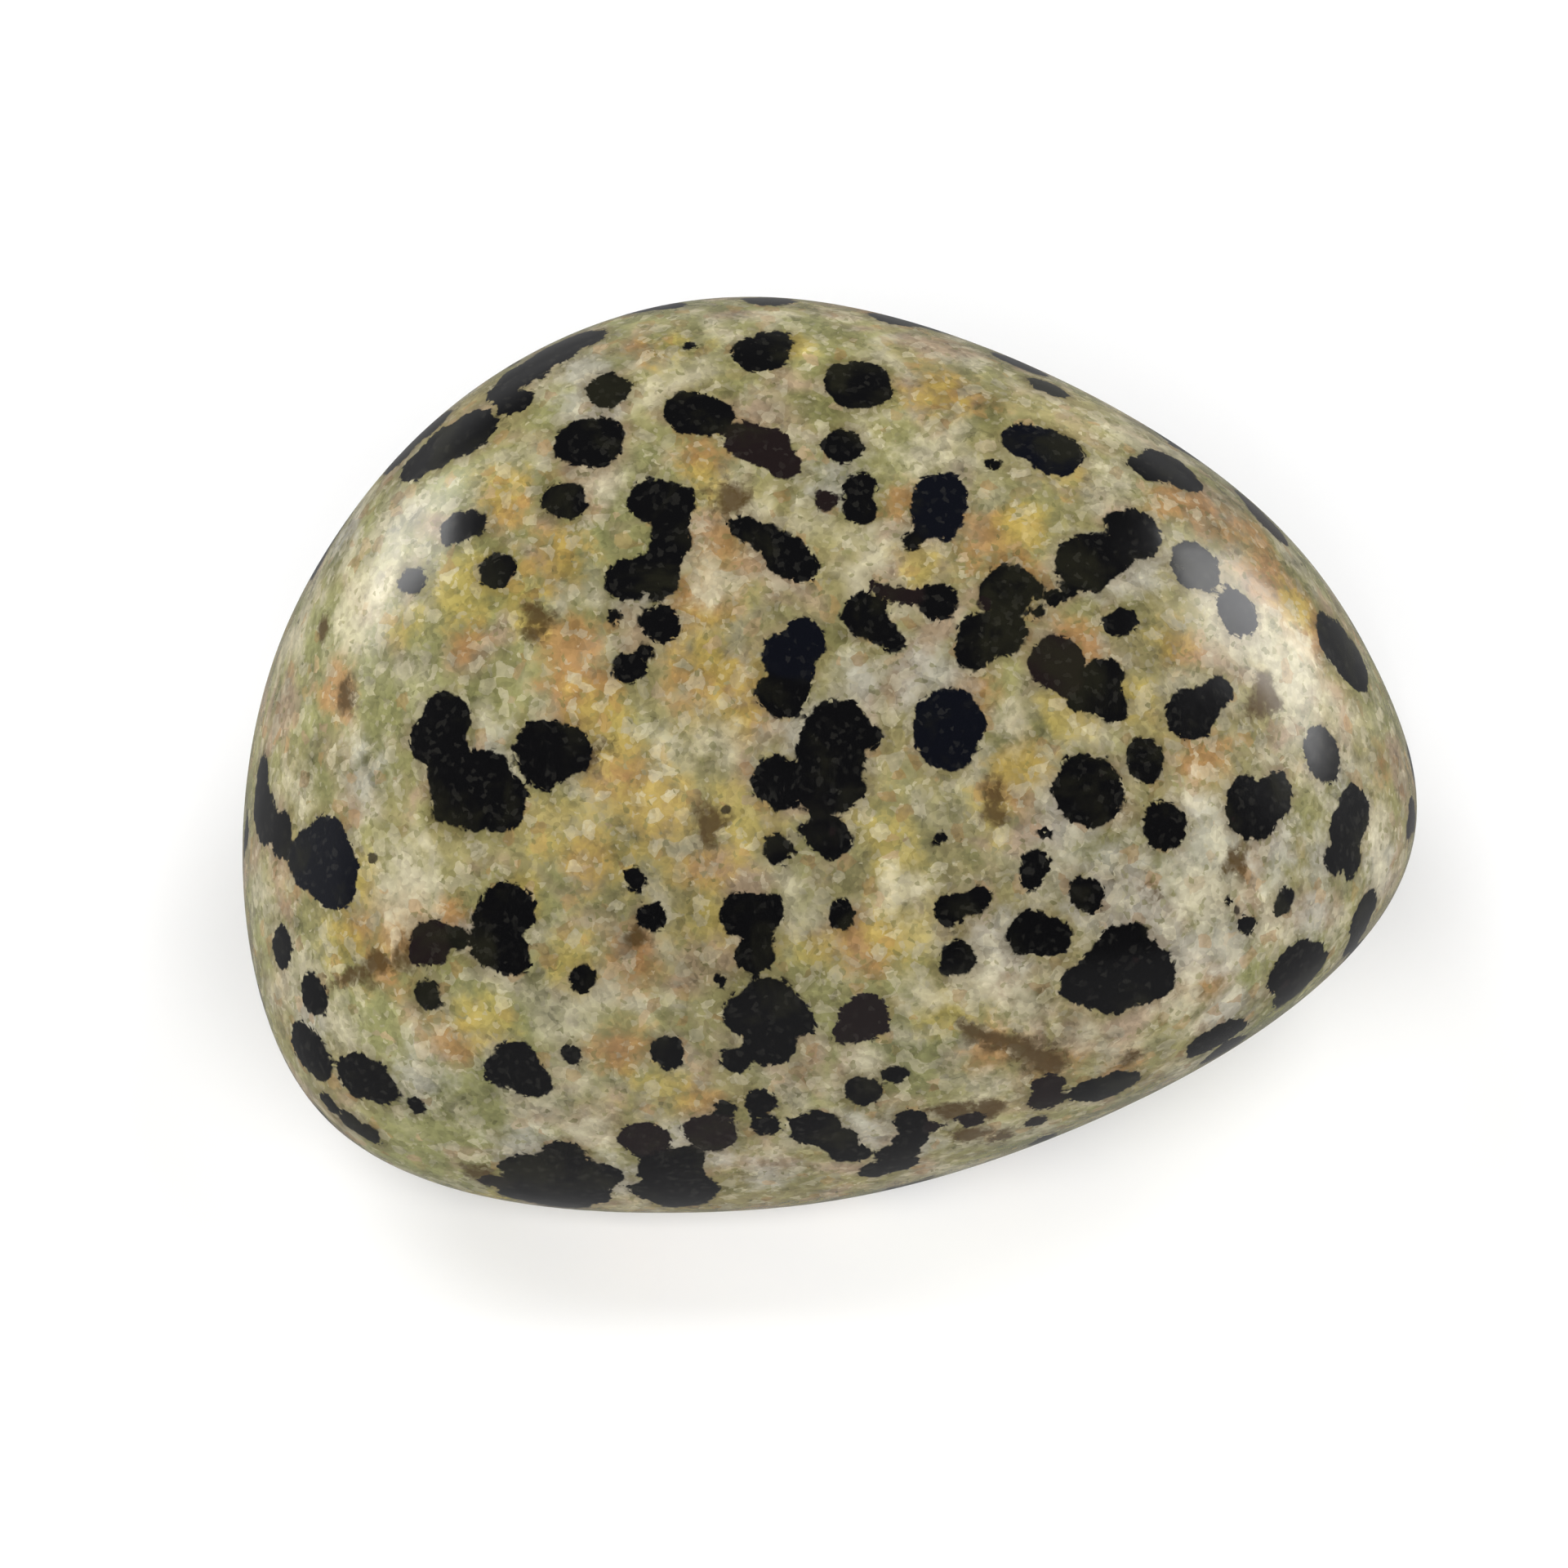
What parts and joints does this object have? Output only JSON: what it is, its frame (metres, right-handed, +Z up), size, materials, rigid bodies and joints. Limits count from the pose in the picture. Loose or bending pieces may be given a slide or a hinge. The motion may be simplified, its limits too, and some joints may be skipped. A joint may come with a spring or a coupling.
{
  "type": "tumbled dalmatian jasper",
  "caption": "Polished tumbled pebble of pale spotted dalmatian jasper with softly rounded worn faces, lying on a small flat spot.",
  "frame": {"origin": "middle of the stone's box in X and Y, on the surface it rests on", "axes": "+Z up from the resting flat; X along the stone, with the blunt narrow end at +X and the broad end at -X; -Y faces the viewer of the picture"},
  "size_m": [0.0298, 0.0238, 0.0206],
  "materials": {
    "polished_jasper": "tumble polished, glossy, beige with round black spots and faint tan stains"
  },
  "bodies": {
    "root": {"stone": "polished_jasper"}
  },
  "joints": []
}
